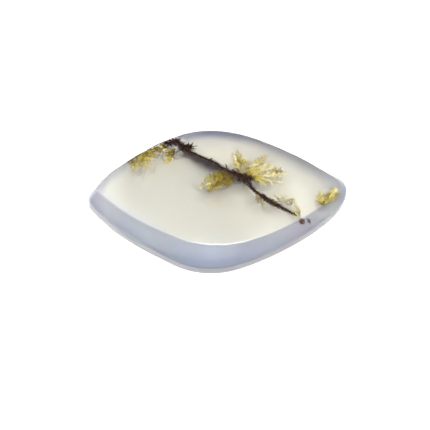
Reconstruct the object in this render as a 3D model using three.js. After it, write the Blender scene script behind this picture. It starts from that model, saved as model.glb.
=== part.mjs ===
// A polished dendritic agate: one flat-backed, low-domed stone in the shape of a rounded lozenge.
// A thin upright girdle carries a sloping bevel all round, and the bevel ends in a shoulder
// under the low dome. Millimetres, +Z up, standing on its flat back, long axis along X.
// The near side is -Y and the far side is +Y. The dendrites are colour inside the stone,
// so they have no shape of their own here.
import * as THREE from 'three';

// Driving sizes of the stone
const THICKNESS = 3.6;
const GIRDLE_TOP = 1.2;
const GIRDLE_ROUNDING = 0.12;
const BACK_ROUNDING = 0.35;
const BEVEL_BULGE = 0.03;

// The low dome: highest a little left of the middle and on the near side of it, with how
// far it drops over a length along the stone and over a width across it
const DOME_TOP_X = -2.4;
const DOME_TOP_Y = -1.2;
const DOME_LENGTH = 15.6;
const DOME_LENGTH_DROP = 1.2;
const DOME_WIDTH = 9.8;
const DOME_WIDTH_DROP = 0.33;

// The outline's four round corners, counter-clockwise from the right tip. Each is an arc
// round a centre, from one angle to the other, and is followed by a bowed side. Leave and
// arrive say how far the side keeps the direction of its two ends, as shares of its length.
const CORNERS = [
  { x: 14.03, y: 0.51, radius: 2.56, from: -5, to: 53, leave: 0.33, arrive: 0.345 }, // right tip
  { x: -0.96, y: 1.27, radius: 10.42, from: 80, to: 114, leave: 0.295, arrive: 0.33 }, // far apex
  { x: -14.59, y: 0.17, radius: 2.0, from: 150, to: 216, leave: 0.375, arrive: 0.46 }, // left tip
  { x: -0.97, y: -2.69, radius: 9.0, from: 236, to: 282, leave: 0.235, arrive: 0.24 }, // near apex
];
const CORNER_STEPS = 11;
const SIDE_STEPS = 26;

// Width of the bevel, square to the outline: one value with easy changes round the stone,
// each at an angle from the middle and dying away over its reach
const BEVEL_RUN = 1.54;
const BEVEL_CHANGES = [
  { angle: 18, change: -0.5, reach: 20 }, // far side of the right tip
  { angle: 98, change: 0.42, reach: 40 }, // far apex
  { angle: 172, change: -0.5, reach: 13 }, // far side of the left tip
  { angle: 260, change: 0.62, reach: 24 }, // near apex
  { angle: 316, change: -0.27, reach: 42 }, // near right side
];

// The shoulder is crisp on the near right and softer on the left
const SHOULDER_CRISP = 0.1;
const SHOULDER_SOFT = 0.3;
const CRISP_ANGLE = 300;

// Rings of points up the stone: degrees round the rounding of the back edge, then the
// polished face, counted 0 at the girdle, 1 at the shoulder and 2 at the middle
const BACK_RINGS = [0, 30, 60, 90];
const BEVEL_RINGS = [0.09, 0.3, 0.55, 0.78, 0.9, 0.96, 1];
const DOME_RINGS = [1.006, 1.018, 1.045, 1.11, 1.22, 1.38, 1.56, 1.76];

const radians = THREE.MathUtils.degToRad;

function arcPoint(corner, degrees) {
  const a = radians(degrees);
  return new THREE.Vector2(
    corner.x + corner.radius * Math.cos(a),
    corner.y + corner.radius * Math.sin(a),
  );
}

function alongArc(degrees) {
  return new THREE.Vector2(-Math.sin(radians(degrees)), Math.cos(radians(degrees)));
}

// A bowed side: a cubic curve that leaves one corner arc and meets the next without a kink
function side(corner, next) {
  const start = arcPoint(corner, corner.to);
  const end = arcPoint(next, next.from);
  const length = start.distanceTo(end);
  const leave = start.clone().addScaledVector(alongArc(corner.to), corner.leave * length);
  const arrive = end.clone().addScaledVector(alongArc(next.from), -corner.arrive * length);
  return new THREE.CubicBezierCurve(start, leave, arrive, end);
}

// The outline as points, counter-clockwise seen from above
function outline() {
  const points = [];
  CORNERS.forEach((corner, i) => {
    const next = CORNERS[(i + 1) % CORNERS.length];
    for (let k = 0; k < CORNER_STEPS; k++) {
      const turn = THREE.MathUtils.lerp(corner.from, corner.to, k / CORNER_STEPS);
      points.push(arcPoint(corner, turn));
    }
    const curve = side(corner, next);
    for (let k = 0; k < SIDE_STEPS; k++) {
      points.push(curve.getPoint(k / SIDE_STEPS));
    }
  });
  return points;
}

function angleBetween(a, b) {
  const turn = (((a - b) % 360) + 360) % 360;
  return Math.min(turn, 360 - turn);
}

function bevelRun(degrees) {
  return BEVEL_CHANGES.reduce((run, { angle, change, reach }) => {
    const away = angleBetween(degrees, angle) / reach;
    return run + change * Math.exp(-away * away);
  }, BEVEL_RUN);
}

function shoulderSoftness(degrees) {
  const away = (1 - Math.cos(radians(degrees - CRISP_ANGLE))) / 2;
  return THREE.MathUtils.lerp(SHOULDER_CRISP, SHOULDER_SOFT, away);
}

// The lower of two heights, blended over a softness where they cross
function softLower(a, b, softness) {
  const blend = Math.max(softness - Math.abs(a - b), 0) / softness;
  return Math.min(a, b) - (blend * blend * softness) / 4;
}

// One spoke of the stone: its outline point, the way in from it and its shoulder point
function spoke(points, i) {
  const edge = points[i];
  const before = points[(i + points.length - 1) % points.length];
  const after = points[(i + 1) % points.length];
  const inward = new THREE.Vector2(before.y - after.y, after.x - before.x).normalize();
  const degrees = THREE.MathUtils.radToDeg(edge.angle());
  const run = bevelRun(degrees);
  const shoulder = edge.clone().addScaledVector(inward, run);
  return { edge, inward, run, shoulder, softness: shoulderSoftness(degrees) };
}

function domeHeight(place) {
  const along = (place.x - DOME_TOP_X) / DOME_LENGTH;
  const across = (place.y - DOME_TOP_Y) / DOME_WIDTH;
  return THICKNESS - DOME_LENGTH_DROP * along * along - DOME_WIDTH_DROP * across * across;
}

// A point of the polished face: the bevel up to the shoulder and the low dome inside it
function facePoint(s, count) {
  const onBevel = count <= 1;
  const flat = onBevel
    ? s.edge.clone().lerp(s.shoulder, count)
    : s.shoulder.clone().multiplyScalar(2 - count);
  const share = onBevel ? count : 1 + ((count - 1) * s.shoulder.length()) / s.run;
  const bulge = onBevel ? BEVEL_BULGE * Math.sin(Math.PI * count) : 0;
  const bevel = THREE.MathUtils.lerp(GIRDLE_TOP, domeHeight(s.shoulder), share) + bulge;
  return new THREE.Vector3(flat.x, flat.y, softLower(bevel, domeHeight(flat), s.softness));
}

// A point of the upright edge, a distance in from the outline and at a height
function edgePoint(s, distance, height) {
  const flat = s.edge.clone().addScaledVector(s.inward, distance);
  return new THREE.Vector3(flat.x, flat.y, height);
}

// The rings of the stone, from the flat back up over the girdle, bevel and dome
function stoneRings(spokes) {
  const rings = BACK_RINGS.map((degrees) => {
    const distance = BACK_ROUNDING * (1 - Math.sin(radians(degrees)));
    const height = BACK_ROUNDING * (1 - Math.cos(radians(degrees)));
    return spokes.map((s) => edgePoint(s, distance, height));
  });
  for (const height of [(BACK_ROUNDING + GIRDLE_TOP) / 2, GIRDLE_TOP - GIRDLE_ROUNDING]) {
    rings.push(spokes.map((s) => edgePoint(s, 0, height)));
  }
  for (const count of [...BEVEL_RINGS, ...DOME_RINGS]) {
    rings.push(spokes.map((s) => facePoint(s, count)));
  }
  return rings;
}

// Joins the rings into one closed surface, with a middle point on the back and on the dome
function closedSurface(rings) {
  const around = rings[0].length;
  const corners = rings.flat();
  const back = corners.push(new THREE.Vector3(0, 0, 0)) - 1;
  const top = corners.push(new THREE.Vector3(0, 0, domeHeight(new THREE.Vector2(0, 0)))) - 1;
  const faces = [];
  for (let i = 0; i < around; i++) {
    const next = (i + 1) % around;
    faces.push(back, next, i);
    for (let k = 0; k + 1 < rings.length; k++) {
      const low = k * around;
      const high = low + around;
      faces.push(low + i, low + next, high + next);
      faces.push(low + i, high + next, high + i);
    }
    const crown = (rings.length - 1) * around;
    faces.push(crown + i, crown + next, top);
  }
  const surface = new THREE.BufferGeometry().setFromPoints(corners);
  surface.setIndex(faces);
  surface.computeVertexNormals();
  return surface;
}

function agateStone() {
  const points = outline();
  const spokes = points.map((_, i) => spoke(points, i));
  const milkyChalcedony = new THREE.MeshStandardMaterial({
    name: 'milky chalcedony',
    color: new THREE.Color().setRGB(0.76, 0.74, 0.66),
    roughness: 0.12,
    metalness: 0,
  });
  const stone = new THREE.Mesh(closedSurface(stoneRings(spokes)), milkyChalcedony);
  stone.name = 'agate_stone';
  return stone;
}

const specimen = new THREE.Group();
specimen.add(agateStone());

export default specimen;
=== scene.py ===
import math
import random
from collections import namedtuple

import bpy
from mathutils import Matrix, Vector, kdtree
from mathutils.bvhtree import BVHTree


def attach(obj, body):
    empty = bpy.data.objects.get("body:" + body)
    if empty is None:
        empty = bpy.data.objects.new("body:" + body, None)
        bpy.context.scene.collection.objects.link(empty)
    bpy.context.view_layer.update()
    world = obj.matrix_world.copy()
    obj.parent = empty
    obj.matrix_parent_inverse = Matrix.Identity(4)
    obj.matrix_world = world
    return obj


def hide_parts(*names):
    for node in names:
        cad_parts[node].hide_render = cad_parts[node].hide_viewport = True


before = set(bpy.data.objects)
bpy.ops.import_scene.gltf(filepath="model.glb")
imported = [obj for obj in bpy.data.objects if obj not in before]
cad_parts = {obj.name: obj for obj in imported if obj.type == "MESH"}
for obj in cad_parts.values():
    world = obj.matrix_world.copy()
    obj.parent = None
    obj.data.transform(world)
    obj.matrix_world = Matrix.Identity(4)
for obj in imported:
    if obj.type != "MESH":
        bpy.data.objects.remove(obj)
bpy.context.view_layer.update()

# The room: one sheet of white paper on a table in a dim grey-lavender studio, under a broad
# overhead softbox, seen from half above with a long lens. Sizes are in millimetres and
# become metres where they are used.
MM = 0.001
CAMERA_PLACE = (-3.94, -85.36, 99.09)
CAMERA_TARGET = (-0.5, -2.28, 0.0)
LENS_MM = 85
CAMERA_NEAR = 5
PAPER_WIDTH = 1200
PAPER_GAP = 0.01
PAPER_WHITE = (0.93, 0.93, 0.935, 1)
PAPER_ROUGHNESS = 0.9
ROOM_COLOUR = (0.80, 0.84, 1.0, 1)
ROOM_BRIGHTNESS = 0.25
SOFTBOX_PLACE = (40, -150, 375)
SOFTBOX_SIZE = 320
SOFTBOX_WATTS = 3.6

bpy.context.scene.view_settings.view_transform = "Standard"


def look_from(thing, place, target):
    thing.location = Vector(place) * MM
    thing.rotation_mode = "QUATERNION"
    thing.rotation_quaternion = (Vector(target) - Vector(place)).to_track_quat("-Z", "Y")


camera = bpy.data.objects.new("camera", bpy.data.cameras.new("camera"))
bpy.context.scene.collection.objects.link(camera)
camera.data.lens = LENS_MM
camera.data.clip_start = CAMERA_NEAR * MM
look_from(camera, CAMERA_PLACE, CAMERA_TARGET)
bpy.context.scene.camera = camera

softbox = bpy.data.objects.new("overhead_softbox", bpy.data.lights.new("overhead_softbox", "AREA"))
bpy.context.scene.collection.objects.link(softbox)
softbox.data.size = SOFTBOX_SIZE * MM
softbox.data.energy = SOFTBOX_WATTS
look_from(softbox, SOFTBOX_PLACE, (0, 0, 0))

room = bpy.data.worlds.new("grey_room")
room.use_nodes = True
room.node_tree.nodes["Background"].inputs["Color"].default_value = ROOM_COLOUR
room.node_tree.nodes["Background"].inputs["Strength"].default_value = ROOM_BRIGHTNESS
bpy.context.scene.world = room

bpy.ops.object.select_all(action="DESELECT")
bpy.ops.mesh.primitive_plane_add(size=PAPER_WIDTH * MM, location=(0, 0, -PAPER_GAP * MM))
paper = bpy.context.object
paper.name = "paper"
paper_finish = bpy.data.materials.new("white_paper")
paper_finish.use_nodes = True
paper_shader = paper_finish.node_tree.nodes["Principled BSDF"]
paper_shader.inputs["Base Color"].default_value = PAPER_WHITE
paper_shader.inputs["Roughness"].default_value = PAPER_ROUGHNESS
paper.data.materials.append(paper_finish)

# The stone: one piece of milky chalcedony, sawn, ground to a bevel all round and polished.
# It is cloudy and see-through, cream where white light comes up through it and
# blue-grey at the rim, where it is thin.
MERGE_DISTANCE = 0.001
# How far two triangles may bend and skew, in degrees, and still be joined to a quad
QUAD_BEND = 60
QUAD_SKEW = 180
SMOOTHING_LEVELS = 2
stone_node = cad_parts["agate_stone"]
stone = stone_node.copy()
stone.data = stone_node.data.copy()
stone.parent = None
for key in list(stone.keys()):
    del stone[key]
stone.name = "polished_stone"
bpy.context.scene.collection.objects.link(stone)
stone.data.materials.clear()
bpy.ops.object.select_all(action="DESELECT")
stone.select_set(True)
bpy.context.view_layer.objects.active = stone
bpy.ops.object.mode_set(mode="EDIT")
bpy.ops.mesh.select_all(action="SELECT")
bpy.ops.mesh.remove_doubles(threshold=MERGE_DISTANCE * MM)
bpy.ops.mesh.tris_convert_to_quads(face_threshold=math.radians(QUAD_BEND),
                                   shape_threshold=math.radians(QUAD_SKEW))
bpy.ops.object.mode_set(mode="OBJECT")
smoothing = stone.modifiers.new("smooth_polish", "SUBSURF")
smoothing.levels = SMOOTHING_LEVELS
smoothing.render_levels = SMOOTHING_LEVELS
bpy.ops.object.modifier_apply(modifier="smooth_polish")
bpy.ops.object.shade_smooth()

# Two guides for the colours, kept on the mesh: how far a place lies in from the outline,
# in millimetres, and how steeply the surface stands there. The outline is read from the
# upright girdle.
GIRDLE_LOW = 0.5
GIRDLE_HIGH = 1.0
outline = kdtree.KDTree(len(stone.data.vertices))
for vertex in stone.data.vertices:
    if GIRDLE_LOW < vertex.co.z / MM < GIRDLE_HIGH:
        outline.insert(Vector((vertex.co.x, vertex.co.y, 0)), vertex.index)
outline.balance()


def rim_distance(x, y):
    return outline.find(Vector((x, y, 0)) * MM)[2] / MM


def mark(piece, name, values):
    piece.data.attributes.new(name, "FLOAT", "POINT").data.foreach_set("value", values)


mark(stone, "rim", [rim_distance(v.co.x / MM, v.co.y / MM) for v in stone.data.vertices])
mark(stone, "tilt", [1 - v.normal.z for v in stone.data.vertices])

# The creams of the cloudy body, and painted light: the far side and the thinner right side
# are painted lighter, and the left tip has a painted glow. From here on, a pair of numbers
# is a stretch over which something sets in or ends: the far side's painted light across
# the stone, and the right side's painted light and the left tip's painted glow along it.
BODY_CREAM = (0.88, 0.875, 0.815, 1)
BODY_WARM = (0.88, 0.865, 0.79, 1)
BODY_CLOUD_SIZE = 6
BODY_CLOUD_EDGES = (0.4, 0.6)
CLOUD_DETAIL = 2
FAR_PAINTED_LIGHT = (1.0, 0.975, 0.88, 1)
FAR_PAINTED_LIGHT_SETS_IN = (2, 5)
RIGHT_PAINTED_LIGHT = (0.98, 0.965, 0.89, 1)
RIGHT_PAINTED_LIGHT_SETS_IN = (1, 10)
TIP_PAINTED_GLOW = (1.0, 1.0, 0.92, 1)
TIP_PAINTED_GLOW_ENDS = (-14, -10.5)

# Painted shade: where the far bevel shows through the face as a dark band, that band is
# painted on the face. First come its colours, each with its x, then its width at the left
# tip and the changes of that further right, each with the two ends of its stretch and its
# amount. The band is sharper on the left, fades out towards the near side and the foot,
# and is drawn round both tips.
TIP_TO_TIP = 34
FAR_SHADE_COLOURS = [(-15, (0.66, 0.66, 0.72, 1)), (-9, (0.62, 0.62, 0.66, 1)),
                (-5, (0.40, 0.40, 0.47, 1)), (-1, (0.215, 0.24, 0.37, 1)),
                (3, (0.235, 0.235, 0.32, 1)), (7, (0.305, 0.305, 0.36, 1)),
                (11, (0.39, 0.39, 0.42, 1)), (15, (0.42, 0.43, 0.48, 1))]
BAND_WIDTH = 3.2
BAND_WIDTH_CHANGES = [(-12, -10, -1.2), (-6.5, -3.5, 2.0), (10, 13, -0.1)]
BAND_SHARPNESS = 0.65
BAND_SOFTENING = 0.25
BAND_SOFTENS = (0, 6)
BAND_SETS_IN = (0.5, 2.5)
BAND_FOOT = (0.3, 0.7)
TIP_WRAP = 2.4
LEFT_WRAP_ENDS = (-15, -13.4)
RIGHT_WRAP_SETS_IN = (12, 14)

# The near bevel is lavender, partly its own blue-grey and partly painted shade, darker and
# bluer where it faces the dim room: its colours, each with its x, and a mauve cloud over
# them. The bevel is told from the dome and from the back by its tilt. On the left its
# shoulder is soft, and carries part of the colour and painted shade on over the dome.
BEVEL_COLOURS_AND_SHADE = [(-16, (0.52, 0.56, 0.82, 1)), (-14.2, (0.72, 0.78, 1.0, 1)),
                 (-12, (0.62, 0.70, 0.98, 1)), (-9, (0.66, 0.76, 1.0, 1)),
                 (-3, (0.46, 0.57, 0.91, 1)), (2, (0.46, 0.58, 0.93, 1)),
                 (6, (0.56, 0.69, 1.0, 1)), (9.5, (0.56, 0.61, 0.90, 1)),
                 (11.5, (0.51, 0.58, 0.79, 1)), (12.8, (0.60, 0.68, 0.84, 1)),
                 (14.2, (0.86, 0.98, 1.0, 1)), (16, (0.56, 0.62, 0.86, 1))]
MAUVE_CLOUD = (1.07, 0.97, 0.98, 1)
MAUVE_CLOUD_SIZE = 4
MAUVE_CLOUD_EDGES = (0.4, 0.62)
BEVEL_TILT = (0.08, 0.25)
BACK_TILT = (1.5, 1.9)
BEVEL_ENDS = (0, 2)
SOFT_SHOULDER = 0.5
SOFT_SHOULDER_ENDS = (-9, -1)
SOFT_SHOULDER_WIDTH = (1.5, 2.4)
SOFT_SHOULDER_HEIGHT = (1, 2)

# The girdle, and the darker line where it meets the near bevel, painted shade that begins
# and ends short of the two tips
GIRDLE_MAUVE = (0.74, 0.72, 0.84, 1)
GIRDLE_TOP = (1.0, 1.1)
GIRDLE_SHADE_LINE = (0.36, 0.40, 0.56, 1)
LINE_LOWER_EDGE = (1.04, 1.14)
LINE_UPPER_EDGE = (1.2, 1.34)
LINE_SETS_IN = (-11, -8)
LINE_ENDS = (4, 7)

# The stains near the polished face, and painted shadows among them: the brown is painted
# shadow below the stem's joint and the moss, and the mauve under the stem is partly the
# blurred hanging branches' own colour and partly the stem's painted shadow. Each has the
# place, how far it reaches, its strength and colour. Their edges stray to both sides, by
# half of the stray at most.
STAIN_AND_SHADOW_STRAY = 1
STAIN_AND_SHADOW_STRAY_SIZE = 1.2
SHADOW_BROWN = (0.70, 0.58, 0.44, 1)
SHADE_MAUVE = (0.40, 0.34, 0.36, 1)
STAIN_OLIVE = (0.62, 0.50, 0.22, 1)
STAIN_YELLOW = (0.97, 0.90, 0.62, 1)
STAIN_GOLD = (0.90, 0.76, 0.30, 1)
STAINS_AND_SHADOWS = [((-0.1, -2.4, 3.4), 2.8, 0.45, SHADOW_BROWN), ((3.3, -0.9, 3.4), 1.2, 0.6, SHADOW_BROWN),
          ((-3.5, 5.0, 3.3), 1.2, 0.5, SHADE_MAUVE), ((-2.4, 4.2, 3.4), 1.2, 0.6, SHADE_MAUVE),
          ((-1.2, 3.3, 3.4), 1.2, 0.6, SHADE_MAUVE), ((-0.2, 2.4, 3.4), 1.1, 0.6, SHADE_MAUVE),
          ((0.9, 1.2, 3.4), 1.3, 0.8, STAIN_OLIVE), ((-0.3, 0.3, 3.4), 1.3, 0.5, STAIN_OLIVE),
          ((-1.4, -0.3, 3.4), 1.2, 0.6, STAIN_YELLOW), ((3.1, 3.9, 3.4), 1.6, 0.9, STAIN_YELLOW),
          ((3.1, 3.0, 3.4), 1.0, 0.8, STAIN_GOLD), ((4.7, 2.4, 3.4), 1.5, 0.9, STAIN_GOLD),
          ((5.2, 2.9, 3.4), 2.0, 1.0, STAIN_YELLOW), ((6.6, 2.5, 3.3), 2.0, 1.0, STAIN_YELLOW),
          ((7.6, 1.6, 3.2), 1.7, 0.6, STAIN_YELLOW), ((-9.9, 5.0, 3.1), 1.6, 0.8, STAIN_GOLD),
          ((-8.5, 5.9, 3.1), 1.5, 0.8, STAIN_GOLD), ((-6.2, 5.5, 3.2), 1.1, 0.5, STAIN_YELLOW),
          ((13.2, -2.7, 2.5), 1.0, 0.6, STAIN_YELLOW), ((14.3, -1.4, 2.3), 1.1, 0.6, STAIN_YELLOW)]

# How light goes through the cloudy stone, and how smooth its polish is
CHALCEDONY_IOR = 1.54
CLOUDINESS = 0.5
HAZE_COLOUR = (0.8, 0.75, 0.55, 1)
HAZE_DENSITY = 12
POLISH_ROUGHNESS = 0.03


class Shade:
    """A socket of a material, with the arithmetic of Math nodes."""

    def __init__(self, tree, socket=None):
        self.tree = tree
        self.socket = socket

    def node(self, kind, settings, inputs, output=0):
        made = self.tree.nodes.new(kind)
        stops = settings.pop("stops", None)
        for key, value in settings.items():
            setattr(made, key, value)
        if stops:
            ramp = made.color_ramp.elements
            while len(ramp) < len(stops):
                ramp.new(1)
            for element, (position, colour) in zip(ramp, stops):
                element.position = position
                element.color = colour
        for key, value in inputs.items():
            if isinstance(value, Shade):
                self.tree.links.new(value.socket, made.inputs[key])
            else:
                made.inputs[key].default_value = value
        return Shade(self.tree, made.outputs[output])

    def feed(self, node, name):
        self.tree.links.new(self.socket, node.inputs[name])

    def math(self, operation, a, b):
        return self.node("ShaderNodeMath", {"operation": operation}, {0: a, 1: b})

    def __add__(self, other):
        return self.math("ADD", self, other)

    def __radd__(self, other):
        return self.math("ADD", other, self)

    def __sub__(self, other):
        return self.math("SUBTRACT", self, other)

    def __rsub__(self, other):
        return self.math("SUBTRACT", other, self)

    def __mul__(self, other):
        return self.math("MULTIPLY", self, other)

    def __rmul__(self, other):
        return self.math("MULTIPLY", other, self)


def new_finish(name):
    """A new material, its shader, and the place on the object as its first socket"""
    finish = bpy.data.materials.new(name)
    finish.use_nodes = True
    shader = finish.node_tree.nodes["Principled BSDF"]
    place = Shade(finish.node_tree).node("ShaderNodeTexCoord", {}, {}, output=3)
    return finish, shader, place


def set_plain(shader, values):
    """Values that are the same all over the surface"""
    for name, value in values.items():
        shader.inputs[name].default_value = value


def guide(place, name):
    """A value that is kept on the mesh"""
    return place.node("ShaderNodeAttribute", {"attribute_name": name}, {}, output=2)


def step(value, low, high):
    """0 below low, 1 above high, and an easy rise between them"""
    settings = {"interpolation_type": "SMOOTHSTEP"}
    return value.node("ShaderNodeMapRange", settings, {0: value, 1: low, 2: high, 3: 0, 4: 1})


def between(value, rise, fall):
    return step(value, *rise) * (1 - step(value, *fall))


def mixed(factor, a, b, blend="MIX"):
    settings = {"data_type": "RGBA", "blend_type": blend}
    return factor.node("ShaderNodeMix", settings, {0: factor, 6: a, 7: b}, output=2)


def cloud(place, size, detail, output=0):
    inputs = {"Vector": place, "Scale": 1 / (size * MM), "Detail": detail}
    return place.node("ShaderNodeTexNoise", {}, inputs, output)


def ramp_along(along, colours):
    stops = [((x + TIP_TO_TIP / 2) / TIP_TO_TIP, colour) for x, colour in colours]
    return along.node("ShaderNodeValToRGB", {"stops": stops}, {0: along})


chalcedony, shader, place = new_finish("milky_chalcedony")
rim_in = guide(place, "rim")
tilt = guide(place, "tilt")
x, y, z = [place.node("ShaderNodeSeparateXYZ", {}, {0: place}, axis) * (1 / MM) for axis in range(3)]
clouds = cloud(place, BODY_CLOUD_SIZE, CLOUD_DETAIL)
colour = mixed(step(clouds, *BODY_CLOUD_EDGES), BODY_CREAM, BODY_WARM)
# Painted light: the far side, the right side and the left tip are painted lighter
colour = mixed(step(y, *FAR_PAINTED_LIGHT_SETS_IN), colour, FAR_PAINTED_LIGHT)
colour = mixed(step(x, *RIGHT_PAINTED_LIGHT_SETS_IN), colour, RIGHT_PAINTED_LIGHT)
colour = mixed(1 - step(x, *TIP_PAINTED_GLOW_ENDS), colour, TIP_PAINTED_GLOW)

drift = cloud(place, STAIN_AND_SHADOW_STRAY_SIZE, CLOUD_DETAIL, output=1)
strayed = place.node("ShaderNodeVectorMath", {"operation": "MULTIPLY_ADD"},
                     {0: drift, 1: Vector.Fill(3, STAIN_AND_SHADOW_STRAY * MM), 2: place})
strayed = place.node("ShaderNodeVectorMath", {"operation": "ADD"},
                     {0: strayed, 1: Vector.Fill(3, -STAIN_AND_SHADOW_STRAY / 2 * MM)})
# The stains, with the painted shadows below the stem, the joint and the moss among them
for centre, reach, strength, tint in STAINS_AND_SHADOWS:
    away = place.node("ShaderNodeVectorMath", {"operation": "DISTANCE"},
                      {0: strayed, 1: Vector(centre) * MM}, output=1)
    colour = mixed(strength * (1 - step(away, 0, reach * MM)), colour, tint)

along = (x + TIP_TO_TIP / 2) * (1 / TIP_TO_TIP)
# The painted shade of the dark band along the far side
band_width = BAND_WIDTH
for start, end, change in BAND_WIDTH_CHANGES:
    band_width = band_width + change * step(x, start, end)
sharpness = BAND_SHARPNESS - BAND_SOFTENING * step(x, *BAND_SOFTENS)
to_far_side = y + TIP_WRAP * step(x, *RIGHT_WRAP_SETS_IN) + TIP_WRAP * (1 - step(x, *LEFT_WRAP_ENDS))
far_shade = step(to_far_side, *BAND_SETS_IN) * step(z, *BAND_FOOT)
far_shade = far_shade * step((band_width - rim_in) * sharpness, 0, 1)
colour = mixed(far_shade, colour, ramp_along(along, FAR_SHADE_COLOURS))

# The near bevel's colour with its painted shade, carried on over the soft shoulder
soft_shoulder = SOFT_SHOULDER * (1 - step(x, *SOFT_SHOULDER_ENDS)) * step(z, *SOFT_SHOULDER_HEIGHT)
soft_shoulder = soft_shoulder * (1 - step(rim_in, *SOFT_SHOULDER_WIDTH))
on_bevel = between(tilt, BEVEL_TILT, BACK_TILT)
bevel = (on_bevel + soft_shoulder * (1 - on_bevel)) * (1 - step(y, *BEVEL_ENDS))
mauve = step(cloud(place, MAUVE_CLOUD_SIZE, CLOUD_DETAIL), *MAUVE_CLOUD_EDGES)
rim_colour_and_shade = mixed(mauve, ramp_along(along, BEVEL_COLOURS_AND_SHADE), MAUVE_CLOUD, "MULTIPLY")
rim_colour_and_shade = mixed(1 - step(z, *GIRDLE_TOP), rim_colour_and_shade, GIRDLE_MAUVE)
# A painted shade line along the top of the girdle
girdle_shade_line = between(z, LINE_LOWER_EDGE, LINE_UPPER_EDGE) * between(x, LINE_SETS_IN, LINE_ENDS)
rim_colour_and_shade = mixed(girdle_shade_line, rim_colour_and_shade, GIRDLE_SHADE_LINE)
mixed(bevel, colour, rim_colour_and_shade).feed(shader, "Base Color")

set_plain(shader, {"Transmission Weight": 1.0, "IOR": CHALCEDONY_IOR, "Roughness": CLOUDINESS,
                   "Coat Weight": 1.0, "Coat Roughness": POLISH_ROUGHNESS})
haze = place.node("ShaderNodeVolumeAbsorption", {}, {"Color": HAZE_COLOUR, "Density": HAZE_DENSITY})
haze.feed(chalcedony.node_tree.nodes["Material Output"], "Volume")
stone.data.materials.append(chalcedony)
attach(stone, "root")
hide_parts("agate_stone")

# The stem: dark manganese ore that grew through the stone as it formed, one ragged main
# run from the far edge to the near right shoulder. Where the polish cuts it, it ends
# with the face, and stands out of it just enough to show.
STEM_SEED = 11
STEM_STRIDE = 0.1
# How far cut growth stands proud of the face, how far growth keeps from the outline, the
# least way between two beads of a strand, and a height well over the stone
PROUD = 0.006
EDGE_CLEAR = 0.15
CLOSEST = 0.02
OVERHEAD = 10
TUBE_ROUNDNESS = 1
SHARP_EDGE_DEGREES = 40
# The runs of the stem. Each place is x, y and half the run's width.
STEM_TOP = [(-8.6, 6.6, 0.12), (-8.0, 7.0, 0.26), (-7.3, 7.4, 0.44), (-6.8, 7.5, 0.56), (-6.3, 7.5, 0.60),
            (-5.9, 7.5, 0.34), (-5.5, 7.75, 0.50), (-5.1, 7.7, 0.52), (-4.8, 7.3, 0.38), (-4.5, 6.9, 0.42),
            (-4.1, 6.6, 0.54), (-3.6, 6.5, 0.46), (-3.2, 6.6, 0.22)]
STEM_RUN = [(-4.1, 6.5, 0.40), (-3.9, 6.0, 0.30), (-3.4, 5.7, 0.22), (-2.8, 5.3, 0.19), (-2.1, 4.8, 0.19),
            (-1.4, 4.3, 0.20), (-0.6, 3.8, 0.22), (-0.1, 3.4, 0.24), (0.4, 2.8, 0.26), (0.9, 2.4, 0.30),
            (1.4, 2.0, 0.38), (1.9, 1.7, 0.46), (2.4, 1.4, 0.62), (2.9, 1.1, 0.76), (3.4, 0.7, 0.74)]
STEM_LOWER = [(3.3, 0.8, 0.70), (3.7, 0.3, 0.40), (3.9, 0.0, 0.26), (4.2, -0.7, 0.19), (4.6, -1.3, 0.20),
              (5.0, -1.8, 0.30), (5.5, -2.2, 0.38), (6.0, -2.7, 0.42), (6.5, -3.1, 0.42), (7.0, -3.5, 0.37),
              (7.5, -3.8, 0.31), (8.1, -4.2, 0.26), (8.7, -4.6, 0.20), (9.2, -4.9, 0.13), (9.5, -5.2, 0.06)]
STEM_SPUR = [(3.1, 1.1, 0.46), (3.6, 0.9, 0.42), (4.1, 0.8, 0.34), (4.7, 0.8, 0.08)]
# The core of a run and how deep its middle sinks, as shares of the run's width, and the
# fringe of short side branches along it
CORE_WIDTHS = (0.75, 1.0)
CORE_SINK = 0.4
FRINGE_ANGLES = (35, 100)
FRINGE_DIP = 0.3
FRINGE_DEPTH = 0.1
FRINGE_LENGTHS = (0.9, 1.3)
FRINGE_RADIUS = 0.08
# Single spikes that stand out of the stem, with no twigs, each with its foot and its tip
SPIKES = [((-3.7, 6.6), (-3.4, 7.4)), ((-3.5, 6.6), (-3.0, 7.3)), ((-3.4, 6.5), (-2.6, 6.8)),
          ((-3.4, 6.4), (-2.8, 6.2)), ((-3.7, 6.4), (-3.2, 5.7)), ((-4.0, 6.3), (-3.9, 5.7)),
          ((-4.1, 6.4), (-4.5, 5.9)), ((-4.2, 6.4), (-4.9, 6.0)), ((-4.3, 6.6), (-4.9, 6.6)),
          ((-4.1, 6.6), (-4.3, 7.1)), ((-3.9, 6.6), (-3.9, 7.2)), ((-5.4, 7.9), (-4.9, 8.3)),
          ((-5.6, 8.0), (-5.4, 8.6)), ((-6.0, 7.9), (-6.1, 8.5)), ((-6.6, 7.8), (-6.3, 7.2)),
          ((-5.2, 7.6), (-4.7, 7.8)), ((1.0, 2.4), (0.8, 3.0)), ((1.3, 2.1), (1.1, 3.2)),
          ((2.3, 1.6), (2.3, 2.4)), ((-6.6, 7.3), (-6.6, 6.7)), ((-6.1, 7.3), (-5.9, 6.8)),
          ((-5.3, 7.9), (-5.0, 8.4)), ((-5.0, 7.8), (-4.5, 8.2)), ((-4.0, 6.6), (-3.6, 7.3)),
          ((-3.6, 6.5), (-2.7, 6.4)), ((-4.2, 6.5), (-4.7, 5.9)), ((-0.9, 4.0), (-0.6, 4.4)),
          ((4.0, 0.9), (4.6, 1.2)), ((3.8, 0.9), (4.3, 0.4))]
SPIKE_STRETCH = 1.2
SPIKE_RADIUS = 0.15
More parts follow.
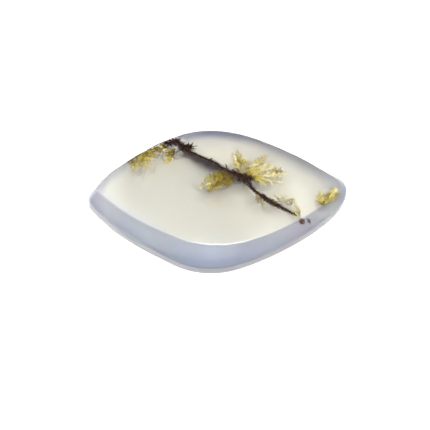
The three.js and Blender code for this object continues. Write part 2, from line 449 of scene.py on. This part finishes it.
# How a growth branches: its stride, the spacing of its twigs and their spread in degrees,
# how it shrinks from one level of twigs to the next, how it tapers, how lumpy it is, how
# it bends and dips, its levels of twigs, how flat the face over it has to be, how much it
# fades in a millimetre, and the least depth under the face that it keeps
spiky = {"stride": 0.07, "spacing": 0.12, "spread": (30, 70), "shrink": 0.5, "taper": 0.8, "lumps": 0.2,
         "bend": 0.12, "dip": 0.2, "levels": 1, "flatness": 0, "fading": 0, "shallow": 0}
single_spike = {**spiky, "levels": 0, "dip": 0}
# The gaps and lengths of twigs vary between these shares. Twigs are shorter towards the
# tip of their branch, and thinner than it.
TWIG_GAPS = (0.6, 1.4)
TWIG_LENGTHS = (0.5, 1.2)
TWIG_SHORTENING = 0.5
TWIG_THINNING = 0.75
# The ore's colours, from the darkest grains to the palest
ORE_SHADES = [(0.35, (0.010, 0.004, 0.001, 1)), (0.6, (0.024, 0.009, 0.004, 1)),
              (1.0, (0.075, 0.038, 0.017, 1))]
ORE_GRAIN = 0.35
ORE_GRAIN_DETAIL = 3
ORE_FADING = 0.35
ORE_ROUGHNESS = 0.6
ORE_POLISH = 0.06

# A strand is a row of beads. The polished face has a height over each place of the plan,
# and a flatness, which is 1 where it lies level.
Bead = namedtuple("Bead", "place radius fade")
Face = namedtuple("Face", "height flatness")
skin = BVHTree.FromPolygons([v.co for v in stone.data.vertices],
                            [f.vertices for f in stone.data.polygons])


def polished_face(x, y):
    """The polished face over a place of the plan, or None at the stone's edge and off it"""
    if rim_distance(x, y) < EDGE_CLEAR:
        return None
    spot, normal, _, _ = skin.ray_cast(Vector((x, y, OVERHEAD)) * MM, Vector((0, 0, -1)))
    return Face(spot.z / MM, normal.z) if spot else None


def turned(heading, degrees, dip):
    """A heading turned on the plan, and tipped down by a dip"""
    turn = math.radians(degrees)
    return Vector((heading.x * math.cos(turn) - heading.y * math.sin(turn),
                   heading.x * math.sin(turn) + heading.y * math.cos(turn), heading.z + dip))


def grow(strands, rng, start, heading, length, radius, habit, level=0, fade=0.0):
    """One branch with its side twigs. A place is x, y and depth under the polished face."""
    place = Vector(start)
    heading = Vector(heading).normalized()
    stride = habit["stride"]
    strides = max(2, round(length / stride))
    twig_due = rng.uniform(0, habit["spacing"])
    side = rng.choice([-1, 1])
    branch = []
    for k in range(strides + 1):
        face = polished_face(place.x, place.y)
        if face is None or face.flatness < habit["flatness"]:
            break
        share = k / strides
        lump = rng.uniform(1 - habit["lumps"], 1 + habit["lumps"])
        thick = radius * (1 - habit["taper"] * share) * lump
        faded = min(1, fade + habit["fading"] * k * stride)
        branch.append(Bead(Vector((place.x, place.y, face.height - place.z)), thick, faded))
        twig_due -= stride
        if level < habit["levels"] and twig_due < 0:
            twig_due = habit["spacing"] * rng.uniform(*TWIG_GAPS)
            side = -side
            way = turned(heading, side * rng.uniform(*habit["spread"]), rng.gauss(0, habit["dip"]))
            reach = length * habit["shrink"] * (1 - TWIG_SHORTENING * share) * rng.uniform(*TWIG_LENGTHS)
            grow(strands, rng, place, way, reach, radius * TWIG_THINNING, habit, level + 1, faded)
        heading = heading + Vector([rng.gauss(0, habit["bend"]) for _ in range(3)])
        heading.normalize()
        place = place + heading * stride
        place.z = min(max(place.z, habit["shallow"]), face.height - stride)
    if len(branch) > 1:
        strands.append(branch)


def run_along(route, stride):
    """Places along a smooth curve through a route's places, with their third values"""
    knots = [Vector(knot) for knot in route]
    knots = [2 * knots[0] - knots[1]] + knots + [2 * knots[-1] - knots[-2]]
    spots = []
    for a, b, c, d in zip(knots, knots[1:], knots[2:], knots[3:]):
        pieces = max(1, round((c - b).length / stride))
        for k in range(pieces):
            t = k / pieces
            spots.append(0.5 * ((2 * b) + (c - a) * t + (2 * a - 5 * b + 4 * c - d) * t * t
                                + (3 * b - a - 3 * c + d) * t * t * t))
    return spots + [knots[-2]]


def well_spaced(strand):
    """A strand without the beads that lie almost on the one before"""
    kept = strand[:1]
    for bead in strand[1:]:
        if (bead.place - kept[-1].place).length > CLOSEST:
            kept.append(bead)
    return kept


def growth_piece(name, strands, finish):
    """Tubes along the strands, cut off where they would stand out of the polished face"""
    strands = [well_spaced(strand) for strand in strands]
    strands = [strand for strand in strands if len(strand) > 1]
    tubes = bpy.data.curves.new(name, "CURVE")
    tubes.dimensions = "3D"
    tubes.bevel_depth = MM
    tubes.bevel_resolution = TUBE_ROUNDNESS
    for strand in strands:
        spline = tubes.splines.new("POLY")
        spline.points.add(len(strand) - 1)
        for point, bead in zip(spline.points, strand):
            point.co = (*(bead.place * MM), 1)
            point.radius = bead.radius
    piece = bpy.data.objects.new(name, tubes)
    bpy.context.scene.collection.objects.link(piece)
    bpy.ops.object.select_all(action="DESELECT")
    piece.select_set(True)
    bpy.context.view_layer.objects.active = piece
    bpy.ops.object.convert(target="MESH")
    piece = bpy.context.object
    fades = [bead.fade for strand in strands for bead in strand]
    ring = len(piece.data.vertices) // len(fades)
    mark(piece, "fade", [fade for fade in fades for _ in range(ring)])
    for vertex in piece.data.vertices:
        face = polished_face(vertex.co.x / MM, vertex.co.y / MM)
        if face and vertex.co.z > face.height * MM:
            vertex.co.z = (face.height + PROUD) * MM
    bpy.ops.object.mode_set(mode="EDIT")
    bpy.ops.mesh.select_all(action="SELECT")
    bpy.ops.mesh.fill_holes(sides=ring)
    bpy.ops.mesh.select_all(action="SELECT")
    bpy.ops.mesh.normals_make_consistent(inside=False)
    bpy.ops.object.mode_set(mode="OBJECT")
    bpy.ops.object.shade_smooth_by_angle(angle=math.radians(SHARP_EDGE_DEGREES))
    piece.data.materials.append(finish)
    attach(piece, "root")


def ragged_run(strands, rng, route, fade, habit, fringe):
    """A core along a route, with side branches that stand out by a fringe and make it ragged"""
    spots = run_along(route, STEM_STRIDE)
    core = []
    for here, ahead in zip(spots, spots[1:] + spots[-1:]):
        face = polished_face(here.x, here.y)
        if face is None:
            continue
        width = here.z * rng.uniform(*CORE_WIDTHS)
        core.append(Bead(Vector((here.x, here.y, face.height - CORE_SINK * width)), width, fade))
        heading = Vector((ahead.x - here.x, ahead.y - here.y, 0))
        for side in (-1, 1):
            turn = side * rng.uniform(*FRINGE_ANGLES)
            way = turned(heading, turn, rng.uniform(0, FRINGE_DIP) * STEM_STRIDE)
            start = (here.x, here.y, rng.uniform(0, FRINGE_DEPTH))
            reach = here.z * rng.uniform(*FRINGE_LENGTHS) + fringe
            grow(strands, rng, start, way, reach, FRINGE_RADIUS, habit, 0, fade)
    strands.append(core)


def ore_finish(name, grain_size, shades, polish):
    """Dark ore in fine grains, paler where it fades, with as much gloss as it has polish"""
    finish, shader, place = new_finish(name)
    grain = cloud(place, grain_size, ORE_GRAIN_DETAIL)
    shade = grain + ORE_FADING * guide(place, "fade")
    place.node("ShaderNodeValToRGB", {"stops": shades}, {0: shade}).feed(shader, "Base Color")
    set_plain(shader, {"Roughness": ORE_ROUGHNESS, "Specular IOR Level": polish,
                       "Coat Weight": polish, "Coat Roughness": POLISH_ROUGHNESS})
    return finish


polished_ore = ore_finish("polished_manganese_ore", ORE_GRAIN, ORE_SHADES, ORE_POLISH)
rng = random.Random(STEM_SEED)
stem = []
# Each run with how far it has faded and how far its fringe stands out
stem_runs = [(STEM_TOP, 0.0, 0.16), (STEM_RUN, 0.0, 0.06), (STEM_LOWER, 0.3, 0.05), (STEM_SPUR, 0.0, 0.1)]
for route, fade, fringe in stem_runs:
    ragged_run(stem, rng, route, fade, spiky, fringe)
for foot, tip in SPIKES:
    way = Vector((tip[0] - foot[0], tip[1] - foot[1], 0))
    grow(stem, rng, (*foot, 0), way, SPIKE_STRETCH * way.length, SPIKE_RADIUS, single_spike)
growth_piece("manganese_stem", stem, polished_ore)

# The hanging branches: the same ore, grown down into the stone from the stem and towards
# the near side, a dense wall at the top and loose ends below. They sit deeper and deeper
# in the cloudy stone, so they blur into it.
HANGING_SEED = 5
HIDDEN_SHADES = [(0.35, (0.030, 0.015, 0.012, 1)), (0.5, (0.07, 0.036, 0.030, 1)),
                 (0.65, (0.14, 0.085, 0.070, 1))]
HIDDEN_GRAIN = 0.4
# The curtain of branches. Each place is x, y and how far they reach.
CURTAIN_RUN = [(-4.2, 6.2, 0.9), (-3.6, 5.8, 1.5), (-2.8, 5.3, 1.3), (-2.1, 4.8, 1.7), (-1.4, 4.3, 1.6),
               (-0.6, 3.8, 1.8), (0.2, 3.1, 1.6), (0.9, 2.4, 1.4), (1.7, 1.8, 0.9), (2.4, 1.4, 0.8),
               (3.0, 1.1, 1.1), (3.6, 0.6, 0.9), (4.0, -0.2, 0.3), (4.6, -1.3, 0.2)]
CURTAIN_STRIDE = 0.03
CURTAIN_SCATTER = 0.06
CURTAIN_DEPTHS = (0.02, 0.2)
CURTAIN_LEAN = (-0.3, -0.75, 0.9)
CURTAIN_SPREAD = 0.16
CURTAIN_RADIUS = 0.1
# The share of its place's reach that a branch grows: the least, the most that is added
# to that, and a power that makes long branches rare
LEAST_REACH = 0.2
ADDED_REACH = 0.9
LONG_REACH_RARITY = 1.8
# Stout bits of ore beyond the near end of the stem, each with its foot and its tip
END_BITS = [((10.1, -5.65), (9.9, -5.95)), ((10.15, -5.65), (10.3, -6.0)),
            ((11.0, -5.4), (11.25, -5.25))]
END_BIT_DEPTH = 0.2
END_BIT_RADIUS = 0.4
hanging_habit = {"stride": 0.12, "spacing": 0.4, "spread": (20, 60), "shrink": 0.3, "taper": 0.75,
                 "lumps": 0.2, "bend": 0.10, "dip": 0.2, "levels": 1, "flatness": 0, "fading": 0,
                 "shallow": 0}
hidden_ore = ore_finish("manganese_ore_in_stone", HIDDEN_GRAIN, HIDDEN_SHADES, 0)
rng = random.Random(HANGING_SEED)
hanging = []
for spot in run_along(CURTAIN_RUN, CURTAIN_STRIDE):
    start = (spot.x + rng.gauss(0, CURTAIN_SCATTER), spot.y + rng.gauss(0, CURTAIN_SCATTER),
             rng.uniform(*CURTAIN_DEPTHS))
    heading = Vector(CURTAIN_LEAN) + Vector([rng.gauss(0, CURTAIN_SPREAD) for _ in range(3)])
    length = spot.z * (LEAST_REACH + ADDED_REACH * rng.uniform(0, 1) ** LONG_REACH_RARITY)
    grow(hanging, rng, start, heading, length, CURTAIN_RADIUS, hanging_habit)
for foot, tip in END_BITS:
    way = Vector((tip[0] - foot[0], tip[1] - foot[1], 0))
    grow(hanging, rng, (*foot, END_BIT_DEPTH), way, way.length, END_BIT_RADIUS, hanging_habit)
growth_piece("hanging_branches", hanging, hidden_ore)

# The moss: iron-stained growth in fine sprays along the stem and at both ends of the
# stone, olive-brown where it is dense and pale yellow at the tips of its twigs. It lies in
# two layers, a crisp one just under the face and a sparser, deeper one that blurs.
MOSS_SEED = 23
MOSS_SHADES = [(0.0, (0.050, 0.030, 0.008, 1)), (0.25, (0.165, 0.115, 0.014, 1)),
               (0.5, (0.36, 0.28, 0.035, 1)), (0.75, (0.57, 0.48, 0.15, 1)),
               (1.0, (0.74, 0.69, 0.45, 1))]
MOSS_GRAIN = 0.3
MOSS_GRAIN_DETAIL = 2
MOSS_MOTTLING = 0.6
MOSS_ROUGHNESS = 0.7
MOSS_GLOSS = 0.05
# The crust of moss on the far edge. Each place is x, y and half the run's width.
MOSS_EDGE = [(-11.5, 4.6, 0.03), (-10.7, 5.2, 0.05), (-10.0, 5.7, 0.06), (-9.2, 6.2, 0.07),
             (-8.4, 6.7, 0.09), (-7.8, 7.0, 0.12)]
MOSS_EDGE_FRINGE = 0.12
# The limbs of the patches. Each is its foot, its tip and how far its middle bows out to
# its left.
MOSS_LEFT = [((-11.1, 5.2), (-10.5, 3.1), 0.0), ((-10.5, 5.7), (-10.0, 3.7), 0.0),
             ((-10.1, 6.1), (-8.4, 3.8), 0.1), ((-9.5, 6.0), (-9.1, 3.2), -0.2),
             ((-9.4, 6.5), (-8.0, 5.3), -0.1), ((-8.7, 6.8), (-8.3, 5.4), 0.1),
             ((-8.1, 7.1), (-7.3, 6.3), -0.1), ((-7.3, 7.5), (-6.7, 6.4), 0.1),
             ((-10.9, 5.2), (-6.9, 7.5), 0.1), ((-5.5, 6.4), (-6.6, 5.2), -0.1),
             ((-5.5, 6.3), (-6.4, 3.6), -0.2)]
MOSS_NEAR_JOINT = [((1.8, 1.3), (-1.4, -0.1), 0.2), ((1.1, 0.9), (-2.2, -0.5), 0.1),
                   ((0.9, 1.1), (-1.1, 1.3), 0.1), ((0.3, 0.7), (-1.3, -1.3), 0.1),
                   ((1.7, 1.1), (0.9, -0.5), 0.1), ((1.1, 1.1), (-0.4, -0.9), 0.1),
                   ((2.1, 1.3), (1.5, 0.0), 0.1), ((1.4, 1.8), (-0.3, 1.7), 0.1),
                   ((1.6, 1.5), (-1.8, 0.7), 0.1)]
MOSS_FAR_LEFT = [((3.1, 1.9), (2.1, 5.1), 0.2), ((3.0, 3.3), (2.8, 5.5), 0.1), ((3.0, 3.0), (4.1, 3.9), 0.1)]
MOSS_FAR_RIGHT = [((3.4, 1.7), (5.4, 4.0), -0.2), ((4.9, 3.4), (6.4, 4.8), 0.1),
                  ((3.7, 1.7), (6.9, 3.8), -0.1), ((3.9, 1.4), (7.2, 2.8), 0.1),
                  ((4.3, 1.1), (8.8, 1.8), -0.1), ((6.8, 1.5), (8.0, 2.5), 0.1),
                  ((4.3, 0.9), (8.0, 0.2), 0.1), ((4.5, 1.0), (5.9, -0.1), 0.1)]
MOSS_RIGHT_TIP = [((13.0, -3.3), (15.1, -0.3), -0.35), ((13.0, -3.2), (13.0, -0.9), 0.2),
                  ((13.2, -3.0), (13.6, -1.8), 0.0), ((13.9, -2.4), (14.3, -0.9), 0.0),
                  ((14.3, -2.0), (14.7, -0.4), 0.1), ((14.6, -1.3), (15.2, -0.9), 0.0),
                  ((12.9, -3.1), (12.6, -2.2), 0.0), ((13.4, -2.9), (14.3, -2.0), 0.0)]
MOSS_BY_STEM = [((9.9, -5.1), (9.6, -3.4), 0.1), ((8.8, -4.5), (9.9, -5.3), 0.0),
                ((8.5, -3.7), (8.0, -2.0), -0.1), ((8.9, -3.7), (9.2, -2.4), 0.0),
                ((7.6, -3.2), (6.9, -1.9), -0.2), ((5.2, -2.5), (5.4, -3.8), 0.1),
                ((4.9, -1.9), (4.7, -2.9), 0.0)]
LIMB_STRIDE = 0.09
LIMB_WANDER = 0.03
LIMB_TAPER = 0.7
LIMB_WAVE = 0.4
LIMB_WAVE_PACE = 5
LIMB_TWIG_LENGTHS = (0.5, 1.3)
LIMB_TWIG_DIP = 0.1
LIMB_TWIG_FADES = 0.18
# How the two kinds of moss branch, as for the ore. Limb is a limb's radius, twigs the
# share of its places that carry a twig, twig the length of these, and depth how deep the
# limb lies. The deeper layer of a patch differs from its crisp one in three of them.
sparse = {"stride": 0.1, "spacing": 0.25, "spread": (20, 50), "shrink": 0.5, "taper": 0.5, "lumps": 0.3,
          "bend": 0.16, "dip": 0.2, "levels": 1, "flatness": 0.93, "fading": 0.2, "shallow": 0,
          "limb": 0.045, "twigs": 0.6, "twig": 0.8, "depth": 0.05}
mossy = {"stride": 0.08, "spacing": 0.16, "spread": (18, 48), "shrink": 0.55, "taper": 0.5, "lumps": 0.25,
         "bend": 0.13, "dip": 0.10, "levels": 2, "flatness": 0.93, "fading": 0.28, "shallow": 0,
         "limb": 0.05, "twigs": 0.6, "twig": 0.9, "depth": 0.02}
deeper_layer = {"depth": 0.12, "shallow": 0.06, "twigs": 0.3}
# The patches, each with its limbs, how far it has faded at their feet, and its kind. The
# one at the right tip grows on where the face turns down to the shoulder.
MOSS_PATCHES = [("moss_left", MOSS_LEFT, 0.05, mossy),
                ("moss_near_joint", MOSS_NEAR_JOINT, -0.2, mossy),
                ("moss_far_left", MOSS_FAR_LEFT, 0.25, mossy),
                ("moss_far_right", MOSS_FAR_RIGHT, 0.25, mossy),
                ("moss_right_tip", MOSS_RIGHT_TIP, 0.2, {**mossy, "flatness": 0.8}),
                ("moss_by_stem", MOSS_BY_STEM, 0.45, sparse)]


def moss_limb(strands, rng, foot, tip, bow, fade, habit):
    """A limb along a bowed way from foot to tip, with its twigs"""
    foot = Vector(foot)
    across = Vector(tip) - foot
    middle = foot + across / 2 + Vector((-across.y, across.x)).normalized() * bow
    strides = round(across.length / LIMB_STRIDE)
    limb = []
    before = foot
    for k in range(strides + 1):
        t = k / strides
        here = foot * (1 - t) ** 2 + middle * 2 * t * (1 - t) + Vector(tip) * t * t
        here = here + Vector((rng.gauss(0, LIMB_WANDER), rng.gauss(0, LIMB_WANDER)))
        face = polished_face(here.x, here.y)
        if face is None or face.flatness < habit["flatness"]:
            before = here
            continue
        ahead = here - before if k else across
        heading = Vector((*ahead, 0)).normalized()
        under = habit["depth"] * (1 + LIMB_WAVE * math.sin(LIMB_WAVE_PACE * t + foot.x))
        thick = habit["limb"] * (1 - LIMB_TAPER * t)
        faded = min(1, fade + habit["fading"] * k * LIMB_STRIDE)
        limb.append(Bead(Vector((here.x, here.y, face.height - under)), thick, faded))
        for side in (-1, 1):
            if rng.random() < habit["twigs"]:
                way = turned(heading, side * rng.uniform(*habit["spread"]), rng.gauss(0, LIMB_TWIG_DIP))
                reach = habit["twig"] * (1 - TWIG_SHORTENING * t) * rng.uniform(*LIMB_TWIG_LENGTHS)
                twig_fade = min(1, max(0, faded + rng.gauss(0, LIMB_TWIG_FADES)))
                start = (here.x, here.y, under)
                grow(strands, rng, start, way, reach, TWIG_THINNING * habit["limb"], habit, 1, twig_fade)
        before = here
    if len(limb) > 1:
        strands.append(limb)


iron, shader, place = new_finish("iron_stained_moss")
grain = cloud(place, MOSS_GRAIN, MOSS_GRAIN_DETAIL)
shade = guide(place, "fade") + MOSS_MOTTLING * (grain - 0.5)
place.node("ShaderNodeValToRGB", {"stops": MOSS_SHADES}, {0: shade}).feed(shader, "Base Color")
set_plain(shader, {"Roughness": MOSS_ROUGHNESS, "Specular IOR Level": MOSS_GLOSS})

rng = random.Random(MOSS_SEED)
edge = []
ragged_run(edge, rng, MOSS_EDGE, 0.0, spiky, MOSS_EDGE_FRINGE)
growth_piece("moss_far_edge", edge, iron)
for name, limbs, fade, habit in MOSS_PATCHES:
    strands = []
    for foot, tip, bow in limbs:
        moss_limb(strands, rng, foot, tip, bow, fade, habit)
        moss_limb(strands, rng, foot, tip, bow, fade, {**habit, **deeper_layer})
    growth_piece(name, strands, iron)
